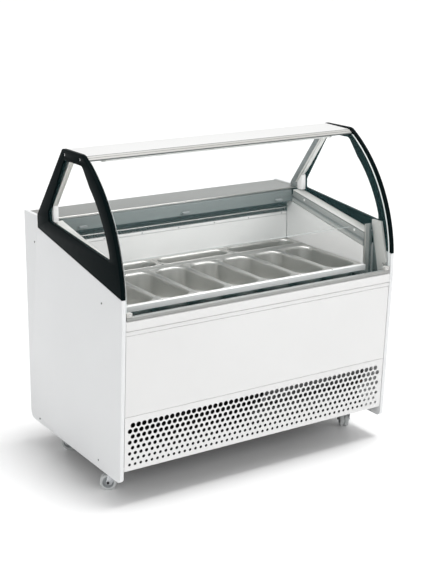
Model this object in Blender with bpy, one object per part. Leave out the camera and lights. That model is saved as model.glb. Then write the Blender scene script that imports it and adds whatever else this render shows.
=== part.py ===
"""Ice cream dipping cabinet: a refrigerated display for ten pans, on four swivel casters.

Metres, +Z up. X runs along the width, -Y is the customer's side with the curved glass, +Y the operator's
side. The origin is at the middle of the footprint, on the floor.
"""
import math

import bmesh
import bpy
from mathutils import Matrix, Vector

# Driving dimensions
WIDTH = 1.320
DEPTH = 0.865
HEIGHT = 1.358
SIDE_THICK = 0.018
GAP = 0.0005                        # clearance between pieces that touch

HALF_W = WIDTH / 2
FRONT = -DEPTH / 2
REAR = DEPTH / 2
IN_X = HALF_W - SIDE_THICK - 0.0015  # half width between the side panels
WELL_X = 0.590                       # half width of the well
TRIM_X = WELL_X - 0.0015             # inner face of the slanted trims

# Heights
PANEL_Z = 0.103                      # lower edge of the side panels
BASE_Z = 0.108
BASE_FRONT = -0.275
GRILLE_Z = (0.150, 0.3765)
FRONT_PANEL_Z = (0.3775, 0.7090)
STRIP_Z = (0.7100, 0.7262)
RAIL_Z = (0.7270, 0.7670)
TANK_Z = (0.470, 0.7300)
PAN_TOP = 0.792
WORKTOP_Z = 1.038
WORKTOP_REAR = 0.4120

# Glass superstructure: the curved glass and the end frames share one arc
ARC_Y = 0.1869
ARC_Z = 0.8261
FRAME_R = 0.620
GLASS_R = 0.616
GLASS_THICK = 0.006
FRAME_TOP_FRONT = -0.150
FRAME_TOP_REAR = 0.0425
FRAME_REAR = 0.2985
GLASS_TOP_Z = 1.3325
HINGE_Y = -0.4305
HINGE_Z = 0.7695
PROFILE_TOP = 0.7810
BLOCK_X = 0.6130                     # the hinge blocks start here
POST_X = 0.6180                      # inner face of the inner posts
END_PLATE_X = 0.6280                 # inner face of the corner posts

# Pans
PAN_PITCH = 0.1675
PAN_SIZE = (0.1665, 0.4020)
REAR_PAN_PITCH = 0.3690
REAR_PAN_SIZE = (0.3660, 0.1150)
PAN_DEPTH = 0.120
FRONT_ROW_Y = -0.3115                # front edge of the front row
REAR_ROW_Y = 0.1355                  # front edge of the rear row
LEDGE_Z = 0.7885                     # the pans' flanges rest here

# Running gear
WHEEL_R = 0.033
WHEEL_WIDTH = 0.040
TRAIL = 0.026
CASTER_X = 0.588
CASTER_Y = (-0.215, 0.255)
FORK_TOP = 0.1075
CASTERS = {
    "front_left": (-CASTER_X, CASTER_Y[0], 148.0),
    "front_right": (CASTER_X, CASTER_Y[0], 60.0),
    "rear_left": (-CASTER_X, CASTER_Y[1], -35.0),
    "rear_right": (CASTER_X, CASTER_Y[1], 20.0),
}

# Refrigeration
FAN_X, FAN_Z = 0.330, 0.330
FAN_R = 0.080

# Controls on the operator's side
PANEL_Y = (0.4105, 0.4185)
SWITCH_Z = 0.935
SWITCHES = {"power_switch": 0.330, "lamp_switch": 0.375}
SWITCH_TILT = 7.0                    # degrees at rest, either way from level
BUTTON_X = 0.540
BUTTON_OUT = 0.4215

for leftover in list(bpy.data.objects):
    bpy.data.objects.remove(leftover, do_unlink=True)


# ---------------------------------------------------------------- materials

def material(name, color, roughness, metallic=0.0, alpha=1.0):
    made = bpy.data.materials.new(name)
    made.use_nodes = True
    shader = made.node_tree.nodes["Principled BSDF"]
    shader.inputs["Base Color"].default_value = (*color, 1.0)
    shader.inputs["Roughness"].default_value = roughness
    shader.inputs["Metallic"].default_value = metallic
    shader.inputs["Alpha"].default_value = alpha
    made.diffuse_color = (*color, alpha)
    return made


WHITE = material("white_paint", (0.82, 0.82, 0.83), 0.35)
LINER = material("white_liner", (0.86, 0.85, 0.84), 0.40)
BLACK = material("black_frame", (0.012, 0.015, 0.017), 0.30)
STEEL = material("pan_steel", (0.55, 0.55, 0.53), 0.30, 1.0)
ALU = material("aluminium", (0.62, 0.62, 0.60), 0.35, 1.0)
GREY = material("grey_profile", (0.26, 0.28, 0.28), 0.45)
DARK = material("dark_plastic", (0.03, 0.03, 0.03), 0.50)
GLASS = material("clear_glass", (0.90, 0.97, 0.98), 0.05, 0.0, 0.25)
LAMP = material("lamp_cover", (0.92, 0.92, 0.90), 0.40)
ZINC = material("zinc_steel", (0.60, 0.62, 0.63), 0.35, 1.0)
TREAD = material("grey_tread", (0.50, 0.51, 0.52), 0.60)
MOTOR = material("black_enamel", (0.02, 0.02, 0.02), 0.35)


# ---------------------------------------------------------------- shapes

def add_object(name, mesh_data, look):
    made = bpy.data.objects.new(name, mesh_data)
    bpy.context.scene.collection.objects.link(made)
    mesh_data.materials.clear()
    mesh_data.materials.append(look)
    return made


def finish_bmesh(name, bm, look, smooth_angle=35.0):
    bmesh.ops.recalc_face_normals(bm, faces=bm.faces)
    if bm.calc_volume(signed=True) < 0:
        bmesh.ops.reverse_faces(bm, faces=bm.faces)
    mesh_data = bpy.data.meshes.new(name)
    bm.to_mesh(mesh_data)
    bm.free()
    mesh_data.shade_smooth()
    mesh_data.set_sharp_from_angle(angle=math.radians(smooth_angle))
    return add_object(name, mesh_data, look)


def rounded(corners, steps=4):
    """Outline points from corners (a, b, radius); each corner with a radius becomes an arc."""
    points = []
    count = len(corners)
    for i, (a, b, radius) in enumerate(corners):
        here = Vector((a, b))
        if radius <= 0:
            points.append((a, b))
            continue
        before = Vector(corners[i - 1][:2]) - here
        after = Vector(corners[(i + 1) % count][:2]) - here
        before.normalize()
        after.normalize()
        half = before.angle(after) / 2
        reach = radius / math.tan(half)
        middle = here + (before + after).normalized() * (radius / math.sin(half))
        start = here + before * reach - middle
        end = here + after * reach - middle
        turn = start.angle_signed(end)
        for k in range(steps + 1):
            spot = start.copy()
            spot.rotate(Matrix.Rotation(-turn * k / steps, 2))
            points.append(tuple(middle + spot))
    return points


def prism(name, outline, low, high, look, axis="X"):
    """A closed outline extruded along one axis. On X the outline is (y, z), on Y (x, z), on Z (x, y)."""
    place = {
        "X": lambda a, b, c: (c, a, b),
        "Y": lambda a, b, c: (a, c, b),
        "Z": lambda a, b, c: (a, b, c),
    }[axis]
    bm = bmesh.new()
    near = [bm.verts.new(place(a, b, low)) for a, b in outline]
    far = [bm.verts.new(place(a, b, high)) for a, b in outline]
    count = len(outline)
    for i in range(count):
        j = (i + 1) % count
        bm.faces.new((near[i], near[j], far[j], far[i]))
    bm.faces.new(near)
    bm.faces.new(far)
    bm.normal_update()
    caps = [face for face in bm.faces if len(face.verts) > 4]
    bmesh.ops.triangulate(bm, faces=caps, ngon_method="EAR_CLIP")
    return finish_bmesh(name, bm, look)


def mirrored_prism(name, outline, inner, outer, look, side):
    """The same prism on the left (side -1) or the right (side 1)."""
    low, high = sorted((side * inner, side * outer))
    return prism(name, outline, low, high, look)


def box(name, low, high, look, bevel=0.0):
    bm = bmesh.new()
    bmesh.ops.create_cube(bm, size=1.0)
    low, high = Vector(low), Vector(high)
    for vert in bm.verts:
        vert.co = (low + high) / 2 + Vector(a * b for a, b in zip(vert.co, high - low))
    if bevel > 0:
        bmesh.ops.bevel(bm, geom=bm.edges[:], offset=bevel, segments=1, affect="EDGES", clamp_overlap=True)
    return finish_bmesh(name, bm, look)


def lathe(name, profile, centre, axis, look, steps=20):
    """A profile of (radius, height) turned about an axis through centre. It starts and ends on the axis or
    closes on itself."""
    bm = bmesh.new()
    rings = []
    for radius, height in profile:
        if radius == 0:
            rings.append([bm.verts.new((0, 0, height))])
            continue
        turns = [2 * math.pi * k / steps for k in range(steps)]
        rings.append([bm.verts.new((radius * math.cos(t), radius * math.sin(t), height)) for t in turns])
    open_ends = profile[0][0] == 0
    pairs = list(zip(rings, rings[1:]))
    if not open_ends:
        pairs.append((rings[-1], rings[0]))
    for one, two in pairs:
        for k in range(steps):
            n = (k + 1) % steps
            face = [one[k % len(one)], one[n % len(one)], two[n % len(two)], two[k % len(two)]]
            bm.faces.new(list(dict.fromkeys(face)))
    turn = Vector((0, 0, 1)).rotation_difference(Vector(axis)).to_matrix().to_4x4()
    bmesh.ops.transform(bm, matrix=Matrix.Translation(centre) @ turn, verts=bm.verts)
    return finish_bmesh(name, bm, look)


def apply_boolean(target, tool, operation, solver="EXACT"):
    """Cuts or joins a tool into the target and removes the tool."""
    step = target.modifiers.new(operation.lower(), "BOOLEAN")
    step.operation = operation
    step.solver = solver
    step.object = tool
    bpy.context.view_layer.update()
    graph = bpy.context.evaluated_depsgraph_get()
    result = bpy.data.meshes.new_from_object(target.evaluated_get(graph))
    target.modifiers.clear()
    old = target.data
    target.data = result
    bpy.data.meshes.remove(old)
    bpy.data.objects.remove(tool, do_unlink=True)
    return target


def cut(target, tool, solver="EXACT"):
    return apply_boolean(target, tool, "DIFFERENCE", solver)


def join(target, tool):
    return apply_boolean(target, tool, "UNION")


def set_pivot(piece, point):
    """Moves a piece's origin to a point on its joint's axis, without moving the piece."""
    piece.data.transform(Matrix.Translation(-Vector(point)))
    piece.location = point
    return piece


def front_y(z):
    """The front line: upright above the rail, then leaning back towards the floor."""
    lean = 0.0405 / (RAIL_Z[1] - PANEL_Z)
    return FRONT + lean * max(0.0, RAIL_Z[1] - z)


def arc_points(radius, start_z, end_y, steps):
    """Points on the shared arc from a height near the front up to a depth near the top."""
    first = math.pi - math.asin((start_z - ARC_Z) / radius)
    last = math.acos((end_y - ARC_Y) / radius)
    turns = [first + (last - first) * k / steps for k in range(steps + 1)]
    return [(ARC_Y + radius * math.cos(t), ARC_Z + radius * math.sin(t)) for t in turns]


# ---------------------------------------------------------------- body

def side_panel(name, side):
    outline = rounded([
        (REAR, PANEL_Z, 0.035),
        (REAR, WORKTOP_Z, 0.0),
        (0.300, WORKTOP_Z, 0.004),
        (0.300, 0.987, 0.0),
        (FRONT, 0.853, 0.0),
        (FRONT, RAIL_Z[1], 0.0),
        (front_y(PANEL_Z), PANEL_Z, 0.022),
    ])
    mirrored_prism(name, outline, HALF_W - SIDE_THICK, HALF_W, WHITE, side)


def base_frame():
    """A shallow sheet tray that carries the casters and the compressor. Its front edge is set well back."""
    low = (-IN_X, BASE_FRONT, BASE_Z)
    high = (IN_X, 0.398, BASE_Z + 0.040)
    made = box("base_frame", low, high, MOTOR)
    wall = 0.004
    top = (high[0] - wall, high[1] - wall, high[2] + wall)
    inside = box("base_inside", [v + wall for v in low], top, MOTOR)
    cut(made, inside)


def insulated_tank():
    outer = box("insulated_tank", (-IN_X, -0.398, TANK_Z[0]), (IN_X, 0.305, TANK_Z[1]), LINER)
    well = (-WELL_X, -0.350, TANK_Z[0] + 0.050), (WELL_X, 0.2545, TANK_Z[1] + 0.050)
    inner = box("tank_inside", *well, LINER)
    cut(outer, inner)


def inner_wall(name, side):
    outline = [
        (-0.3100, TANK_Z[1] + GAP), (0.2515, TANK_Z[1] + GAP), (0.2515, 0.9785), (0.2185, 0.9720),
        (-0.3100, 0.8682),
    ]
    mirrored_prism(name, outline, WELL_X, IN_X, LINER, side)


def rear_wall():
    outline = [
        (0.2525, TANK_Z[1] + GAP), (0.2640, TANK_Z[1] + GAP), (0.2640, 0.9045), (0.2525, 0.9045),
        (0.2525, LEDGE_Z), (0.2430, LEDGE_Z), (0.2430, 0.7755), (0.2525, 0.7755),
    ]
    prism("rear_wall", outline, -TRIM_X, TRIM_X, LINER)


def air_outlet():
    """Three level blades over the back wall; the slots between them blow cold air over the pans."""
    outline = [
        (0.2525, 0.9055), (0.2900, 0.9055), (0.2900, 0.9735), (0.2525, 0.9735), (0.2525, 0.9600),
        (0.2780, 0.9600), (0.2780, 0.9410), (0.2525, 0.9410), (0.2525, 0.9340), (0.2780, 0.9340),
        (0.2780, 0.9180), (0.2525, 0.9180),
    ]
    prism("air_outlet", outline, -TRIM_X, TRIM_X, GREY)


def rear_band():
    outline = [
        (0.2075, 0.9745), (0.3000, 0.9745), (0.3000, 0.9780), (0.2200, 0.9780), (0.2280, 1.0275),
        (0.2150, 1.0275),
    ]
    prism("rear_band", outline, -TRIM_X, TRIM_X, GREY)


def worktop():
    """A level shelf between the feet of the inner posts, which run along its ends."""
    half = POST_X - 0.0015
    box("worktop", (-half, 0.2195, WORKTOP_Z - 0.010), (half, WORKTOP_REAR, WORKTOP_Z), ALU)


def rear_panel():
    box("rear_panel", (-IN_X, 0.4000, 0.112), (IN_X, 0.4100, WORKTOP_Z - 0.0105), WHITE, 0.002)


def front_body():
    """The top rail carries a narrow strip below a shadow groove; the front panel and the grille follow."""
    groove = RAIL_Z[0] + 0.0022
    rail = rounded([
        (-0.4080, RAIL_Z[1], 0.0), (FRONT + 0.001, RAIL_Z[1], 0.006), (FRONT + 0.001, groove, 0.0),
        (FRONT + 0.008, groove - 0.0013, 0.0), (FRONT + 0.0035, STRIP_Z[1], 0.0),
        (FRONT + 0.0045, STRIP_Z[0], 0.0), (-0.4080, STRIP_Z[0], 0.0),
    ], 3)
    prism("front_rail", rail, -IN_X, IN_X, WHITE)
    leaning_plate("front_panel", FRONT_PANEL_Z, 0.0008, 0.008, WHITE)
    leaning_plate("front_grille", GRILLE_Z, 0.0015, 0.004, WHITE)


def leaning_plate(name, heights, inset, thick, look):
    """A plate in the front line between the side panels."""
    low, high = heights
    outline = [
        (front_y(low) + inset, low), (front_y(low) + inset + thick, low),
        (front_y(high) + inset + thick, high), (front_y(high) + inset, high),
    ]
    prism(name, outline, -IN_X, IN_X, look)


# ---------------------------------------------------------------- well

def trim(name, side):
    outline = [(-0.3150, 0.9335), (-0.3080, 0.8710), (0.2150, 0.9735), (0.2060, 1.0275)]
    mirrored_prism(name, outline, TRIM_X, IN_X, GREY, side)


def corner_post(name, side):
    """The end plate in front of the side wall. It leans back with the curved glass, behind its hinge."""
    outline = [
        (-0.3165, 0.9850), (-0.3770, 0.9850), (-0.4150, 0.8250), (-0.4150, 0.8130), (-0.4070, 0.8100),
        (-0.4070, TANK_Z[1] + GAP), (-0.3700, TANK_Z[1] + GAP), (-0.3610, 0.7700), (-0.3165, 0.9600),
    ]
    mirrored_prism(name, outline, END_PLATE_X, IN_X, ALU, side)


def support_bars():
    front = [
        (-0.3320, 0.7680), (-0.3320, 0.7915), (-0.3125, 0.7915), (-0.3125, LEDGE_Z), (-0.3035, LEDGE_Z),
        (-0.3035, 0.7755), (-0.3100, 0.7755), (-0.3100, 0.7680),
    ]
    prism("front_support_bar", front, -TRIM_X, TRIM_X, WHITE)
    middle = [
        (0.0830, 0.7755), (0.0830, LEDGE_Z), (0.0925, LEDGE_Z), (0.0925, 0.7915), (0.1345, 0.7915),
        (0.1345, LEDGE_Z - 0.001), (0.1440, LEDGE_Z - 0.001), (0.1440, 0.7755),
    ]
    prism("middle_bar", middle, -TRIM_X, TRIM_X, STEEL)
    rear_row_start = TRIM_X - 0.002 - 3 * REAR_PAN_PITCH
    box("pan_filler", (-TRIM_X + GAP, REAR_ROW_Y, LEDGE_Z + GAP),
        (rear_row_start, REAR_ROW_Y + REAR_PAN_SIZE[1], 0.7915), STEEL)


def pan(name, size, centre):
    """A drawn steel pan: flange, rounded corners, tapered walls and a rounded bottom, 1 mm thick."""
    wall, flange, corner, taper = 0.0012, 0.0115, 0.030, 0.006
    top, floor = PAN_TOP, PAN_TOP - PAN_DEPTH

    def ring(inset, radius, z):
        half_x, half_y = size[0] / 2 - inset, size[1] / 2 - inset
        corners = [(half_x, half_y, radius), (-half_x, half_y, radius), (-half_x, -half_y, radius),
                   (half_x, -half_y, radius)]
        return [(centre[0] + a, centre[1] + b, z) for a, b in rounded(corners, 3)]

    inset_wall = flange + taper
    rings = [
        ring(inset_wall + 0.016 + wall, corner - 0.012, floor - wall),
        ring(inset_wall + 0.003 + wall, corner - 0.003, floor + 0.014),
        ring(flange + wall, corner, top - 0.006),
        ring(flange - wall, corner, top - 0.003),
        ring(0.0, 0.010, top - 0.003),
        ring(0.0, 0.010, top - 0.0005),
        ring(flange - 0.003, corner, top - 0.0005),
        ring(flange + 2 * wall, corner, top - 0.006),
        ring(inset_wall + 0.003 + 2 * wall, corner - 0.003, floor + 0.014),
        ring(inset_wall + 0.016 + 2 * wall, corner - 0.012, floor),
    ]
    bm = bmesh.new()
    loops = [[bm.verts.new(point) for point in points] for points in rings]
    count = len(loops[0])
    for one, two in zip(loops, loops[1:]):
        for i in range(count):
            j = (i + 1) % count
            bm.faces.new((one[i], one[j], two[j], two[i]))
    bm.faces.new(loops[0])
    bm.faces.new(loops[-1])
    return finish_bmesh(name, bm, STEEL)


def pans():
    row_y = FRONT_ROW_Y + PAN_SIZE[1] / 2
    for i in range(7):
        pan(f"front_pan_{i + 1}", PAN_SIZE, ((i - 3) * PAN_PITCH, row_y))
    right = TRIM_X - 0.002 - REAR_PAN_SIZE[0] / 2
    row_y = REAR_ROW_Y + REAR_PAN_SIZE[1] / 2
    for i in range(3):
        pan(f"rear_pan_{i + 1}", REAR_PAN_SIZE, (right - (2 - i) * REAR_PAN_PITCH, row_y))


# ---------------------------------------------------------------- glass superstructure

def window_outline(shrink=0.0):
    """The rounded opening of the end frame. shrink makes the glass that fits in it."""
    s = shrink
    curve = arc_points(FRAME_R - 0.062 - s, 1.010, -0.190, 6)
    corners = [(-0.3435 + s, 0.981 + s, 0.010), (0.1900 - s, 1.0370 + s, 0.008), (0.1900 - s, 1.0760, 0.006),
               (0.0300 - s, 1.3140 - s, 0.012), (-0.1280, 1.3140 - s, 0.030)]
    return rounded(corners + [(y, z, 0.0) for y, z in reversed(curve)], 3)


def end_frame(name, side):
    curve = arc_points(FRAME_R, 0.8575, FRAME_TOP_FRONT, 12)
    rear = rounded([
        (FRONT, 0.8540, 0.0), (FRAME_REAR, 0.9875, 0.0), (FRAME_REAR, 1.0450, 0.004),
        (FRAME_TOP_REAR, HEIGHT, 0.012), (FRAME_TOP_FRONT + 0.012, HEIGHT, 0.0),
    ], 3)
    outline = rear + list(reversed(curve))
    made = mirrored_prism(name, outline, HALF_W - SIDE_THICK, HALF_W, BLACK, side)
    low, high = sorted((side * (HALF_W - 0.04), side * (HALF_W + 0.02)))
    cut(made, prism("window", window_outline(), low, high, BLACK), "MANIFOLD")


def side_glass(name, side):
    mirrored_prism(name, window_outline(0.0006), HALF_W - 0.012, HALF_W - 0.007, GLASS, side)


def inner_post(name, side):
    """The aluminium post behind the end frame's rear leg. Its foot closes the end of the worktop."""
    lean = -0.2000 / 0.2540
    foot, head = 1.0585, 1.3350
    outline = [
        (0.1780, 1.0290), (WORKTOP_REAR, 1.0290), (WORKTOP_REAR, WORKTOP_Z), (0.2620, WORKTOP_Z),
        (0.2620, foot), (0.2620 + lean * (head - foot), head), (0.2195 + lean * (head - 1.05), head),
        (0.1780, 1.1027),
    ]
    mirrored_prism(name, outline, POST_X, IN_X, ALU, side)


def canopy():
    outline = rounded([
        (-0.1530, 1.3355, 0.0), (0.0380, 1.3355, 0.002), (0.0380, 1.3570, 0.003), (-0.1300, 1.3520, 0.003),
    ], 2)
    prism("canopy", outline, -IN_X, IN_X, WHITE)
    cover = rounded([
        (-0.1150, 1.3350, 0.0), (-0.1150, 1.3180, 0.008), (-0.0850, 1.3180, 0.008), (-0.0850, 1.3350, 0.0),
    ], 3)
    prism("lamp", cover, -0.560, 0.560, LAMP)


def front_glass():
    """Single-curved glass: the shared arc above, then straight down into the bottom profile."""
    inner_r = GLASS_R - GLASS_THICK

    def side_line(radius):
        top_y = ARC_Y - math.sqrt(radius ** 2 - (GLASS_TOP_Z - ARC_Z) ** 2)
        return [(ARC_Y - radius, PROFILE_TOP + GAP)] + arc_points(radius, ARC_Z, top_y, 14)

    outline = side_line(GLASS_R) + list(reversed(side_line(inner_r)))
    made = prism("front_glass", outline, -IN_X + 0.003, IN_X - 0.003, GLASS)
    for side in (-1, 1):
        low, high = sorted((side * (BLOCK_X - GAP), side * HALF_W))
        cut(made, box("notch", (low, -0.45, 0.76), (high, -0.40, 0.7995), GLASS), "MANIFOLD")
    set_pivot(made, (0, HINGE_Y, HINGE_Z))


def glass_profile():
    """The aluminium bottom profile with a hinge block at each end. The hinge line is its lower front edge."""
    half = IN_X - 0.003
    made = box("glass_profile", (-half, FRONT + 0.001, 0.7685), (half, -0.4095, PROFILE_TOP), ALU)
    for side in (-1, 1):
        low, high = sorted((side * BLOCK_X, side * half))
        join(made, box("hinge_block", (low, FRONT + 0.001, 0.7690), (high, -0.4095, 0.7990), ALU))
    set_pivot(made, (0, HINGE_Y, HINGE_Z))


def rear_flap():
    """A clear sheet that lies over the back half of the well and lifts about its rear edge."""
    front_edge, rear_edge = Vector((-0.2305, 0.9420)), Vector((0.2000, 0.9950))
    along = (rear_edge - front_edge).normalized()
    thick = Vector((-along.y, along.x)) * 0.005
    outline = [tuple(p) for p in (front_edge, front_edge - thick, rear_edge - thick, rear_edge)]
    made = prism("rear_flap", outline, -TRIM_X + 0.002, TRIM_X - 0.002, GLASS)
    set_pivot(made, (0, *rear_edge))


# ---------------------------------------------------------------- refrigeration

def refrigeration():
    box("condenser", (0.060, -0.3300, 0.2350), (0.600, -0.2505, 0.4250), GREY, 0.004)
    shroud = box("fan_shroud", (0.060, -0.2500, BASE_Z + 0.0045), (0.600, -0.2460, 0.4300), ZINC)
    hole = lathe("fan_hole", [(0, -0.02), (FAN_R + 0.004, -0.02), (FAN_R + 0.004, 0.02), (0, 0.02)],
                 (FAN_X, -0.248, FAN_Z), (0, 1, 0), ZINC)
    cut(shroud, hole)
    fan_rotor()
    pot = [(0, 0.0), (0.060, 0.0), (0.075, 0.020), (0.082, 0.100), (0.070, 0.165), (0.030, 0.185), (0, 0.187)]
    lathe("compressor", pot, (-0.300, 0.060, BASE_Z + 0.0045), (0, 0, 1), MOTOR, 18)
    box("evaporator", (-0.500, -0.150, TANK_Z[0] + 0.052), (0.500, 0.150, 0.620), ALU, 0.004)


def fan_rotor():
    made = lathe("fan_rotor", [(0, -0.014), (0.022, -0.014), (0.024, 0.014), (0, 0.014)],
                 (FAN_X, -0.225, FAN_Z), (0, 1, 0), DARK, 15)
    centre = Vector((FAN_X, -0.225, FAN_Z))
    for k in range(5):
        blade = box("blade", (-0.024, -0.0015, 0.012), (0.024, 0.0015, FAN_R - 0.002), DARK)
        pitch = Matrix.Rotation(math.radians(28), 4, "Z")
        turn = Matrix.Rotation(2 * math.pi * k / 5, 4, "Y")
        blade.data.transform(Matrix.Translation(centre) @ turn @ pitch)
        join(made, blade)
    set_pivot(made, centre)


# ---------------------------------------------------------------- controls

def control_panel():
    made = box("control_panel", (0.300, PANEL_Y[0], 0.900), (0.580, PANEL_Y[1], 0.970), DARK, 0.0015)

    def opening(x, half_x, half_z):
        low, high = (x - half_x, 0.40, SWITCH_Z - half_z), (x + half_x, 0.43, SWITCH_Z + half_z)
        cut(made, box("opening", low, high, DARK))

    for name, x in SWITCHES.items():
        opening(x, 0.0115, 0.0150)
        rocker(name, x)
    opening(BUTTON_X, 0.0085, 0.0085)
    half = 0.0075
    low, high = (BUTTON_X - half, 0.4140, SWITCH_Z - half), (BUTTON_X + half, BUTTON_OUT, SWITCH_Z + half)
    button = box("set_button", low, high, LAMP, 0.001)
    set_pivot(button, (BUTTON_X, BUTTON_OUT, SWITCH_Z))


def rocker(name, x):
    """A rocker with two faces either side of its pivot. At rest its upper half is in."""
    pivot = (x, 0.4160, SWITCH_Z)
    half, tilt = 0.0125, math.radians(SWITCH_TILT)
    outline = [
        (-0.0035, -half + 0.002), (0.0045, -half), (0.0028, 0.0), (0.0045, half), (-0.0035, half - 0.002),
    ]
    made = prism(name, outline, -0.0100, 0.0100, DARK)
    made.data.transform(Matrix.Rotation(tilt, 4, "X"))
    made.location = pivot
    return made


def mains_inlet():
    """A round gland with an open socket in its end."""
    ring = [
        (0, 0.0), (0.014, 0.0), (0.014, 0.006), (0.010, 0.008), (0.010, 0.018), (0.006, 0.018),
        (0.006, 0.004), (0, 0.004),
    ]
    lathe("mains_inlet", ring, (-0.520, 0.4105, 0.200), (0, 1, 0), DARK, 16)


# ---------------------------------------------------------------- casters

def caster(place, x, y, yaw):
    """A swivel fork and its wheel. The wheel trails from the stem by TRAIL, in the direction of yaw."""
    turn = Matrix.Translation((x, y, 0)) @ Matrix.Rotation(math.radians(yaw), 4, "Z")
    leg_gap = WHEEL_WIDTH / 2 + 0.0015
    leg = rounded([
        (-0.020, 0.0985, 0.0), (-0.022, 0.0860, 0.006), (TRAIL - 0.013, WHEEL_R - 0.009, 0.008),
        (TRAIL + 0.011, WHEEL_R - 0.009, 0.008), (0.022, 0.0860, 0.006), (0.020, 0.0985, 0.0),
    ], 2)
    crown = [(-0.020, 0.0960), (0.020, 0.0960), (0.020, 0.0995), (-0.020, 0.0995)]
    fork = prism(f"caster_fork_{place}", crown, -leg_gap - 0.003, leg_gap + 0.003, ZINC, "Y")
    for side in (-1, 1):
        low, high = sorted((side * leg_gap, side * (leg_gap + 0.003)))
        join(fork, prism("leg", leg, low, high, ZINC, "Y"))
    axle_reach = leg_gap + 0.007
    join(fork, lathe("axle", [(0, -axle_reach), (0.0040, -axle_reach), (0.0040, axle_reach), (0, axle_reach)],
                     (TRAIL, 0, WHEEL_R), (0, 1, 0), ZINC, 10))
    head = [(0, 0.0985), (0.023, 0.0985), (0.023, FORK_TOP), (0, FORK_TOP)]
    join(fork, lathe("head", head, (0, 0, 0), (0, 0, 1), ZINC, 16))
    fork.matrix_world = turn

    half = WHEEL_WIDTH / 2
    profile = [
        (0.0045, -half), (WHEEL_R - 0.004, -half), (WHEEL_R, -half + 0.003), (WHEEL_R, -0.003),
        (WHEEL_R - 0.005, -0.001), (WHEEL_R - 0.005, 0.001), (WHEEL_R, 0.003), (WHEEL_R, half - 0.003),
        (WHEEL_R - 0.004, half), (0.0045, half),
    ]
    wheel = lathe(f"caster_wheel_{place}", profile, (0, 0, 0), (0, 1, 0), TREAD, 24)
    wheel.matrix_world = turn @ Matrix.Translation((TRAIL, 0, WHEEL_R))


# ---------------------------------------------------------------- assembly

for suffix, side_sign in (("left", -1), ("right", 1)):
    side_panel(f"side_panel_{suffix}", side_sign)
    inner_wall(f"inner_wall_{suffix}", side_sign)
    trim(f"slanted_trim_{suffix}", side_sign)
    corner_post(f"corner_post_{suffix}", side_sign)
    end_frame(f"end_frame_{suffix}", side_sign)
    side_glass(f"side_glass_{suffix}", side_sign)
    inner_post(f"inner_post_{suffix}", side_sign)

base_frame()
insulated_tank()
rear_wall()
air_outlet()
rear_band()
worktop()
rear_panel()
front_body()
support_bars()
pans()
canopy()
front_glass()
glass_profile()
rear_flap()
refrigeration()
control_panel()
mains_inlet()
for caster_place, (caster_x, caster_y, caster_yaw) in CASTERS.items():
    caster(caster_place, caster_x, caster_y, caster_yaw)
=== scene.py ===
"""The looks of the ice cream dipping cabinet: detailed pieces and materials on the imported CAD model.

Metres, +Z up, -Y towards the customer. Each piece names the CAD body it rides on and the CAD nodes it
stands for.
"""
import math

import bmesh
import bpy
from mathutils import Matrix, Vector


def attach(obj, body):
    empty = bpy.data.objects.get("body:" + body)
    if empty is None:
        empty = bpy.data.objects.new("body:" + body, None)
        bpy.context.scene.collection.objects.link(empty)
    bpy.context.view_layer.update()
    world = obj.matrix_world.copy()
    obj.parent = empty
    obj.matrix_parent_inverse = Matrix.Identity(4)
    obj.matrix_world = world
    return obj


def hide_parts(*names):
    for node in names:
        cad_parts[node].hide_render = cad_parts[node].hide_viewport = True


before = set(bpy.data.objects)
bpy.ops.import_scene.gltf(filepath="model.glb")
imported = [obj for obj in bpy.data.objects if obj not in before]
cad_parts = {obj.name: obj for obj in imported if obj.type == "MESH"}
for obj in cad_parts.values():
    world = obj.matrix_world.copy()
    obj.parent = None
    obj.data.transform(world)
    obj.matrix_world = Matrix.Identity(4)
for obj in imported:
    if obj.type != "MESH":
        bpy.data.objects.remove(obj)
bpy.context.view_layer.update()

# ---------------------------------------------------------------- dimensions that follow the CAD model

HALF_W = 0.660
SIDE_THICK = 0.018
IN_X = 0.6405
WELL_X = 0.590
TRIM_X = 0.5885
POST_X = 0.6180
END_PLATE_X = 0.6280
FRONT = -0.4325
REAR = 0.4325
PANEL_Z = 0.103
RAIL_TOP = 0.767
WORKTOP_Z = 1.038
ARC_Y, ARC_Z = 0.1869, 0.8261
FRAME_R, GLASS_R, GLASS_THICK = 0.620, 0.616, 0.006
PAN_TOP, PAN_DEPTH = 0.792, 0.120
FRONT_PANS, FRONT_PAN_PITCH = 7, 0.1675
REAR_PAN_X = (-0.3345, 0.0345, 0.4035)
GRILLE_Z, GRILLE_TOP_ROW = (0.150, 0.3765), 0.340
GRILLE_ROWS, ROW_PITCH, COLUMN_PITCH = 8, 0.0236, 0.02508
ROW_HOLES = (49, 50)
TOP_HOLE_R, HOLE_SHRINK = 0.0105, 0.00060
WHEEL_R, WHEEL_WIDTH, TRAIL = 0.033, 0.040, 0.026
FAN_SPOT = Vector((0.330, -0.225, 0.330))
SMOOTH_ANGLE = 35.0                        # degrees; sharper edges stay sharp
CASTERS = {                                # place: x, y and the fork's turn in degrees
    "front_left": (-0.588, -0.215, 148.0),
    "front_right": (0.588, -0.215, 60.0),
    "rear_left": (-0.588, 0.255, -35.0),
    "rear_right": (0.588, 0.255, 20.0),
}


# ---------------------------------------------------------------- materials

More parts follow.
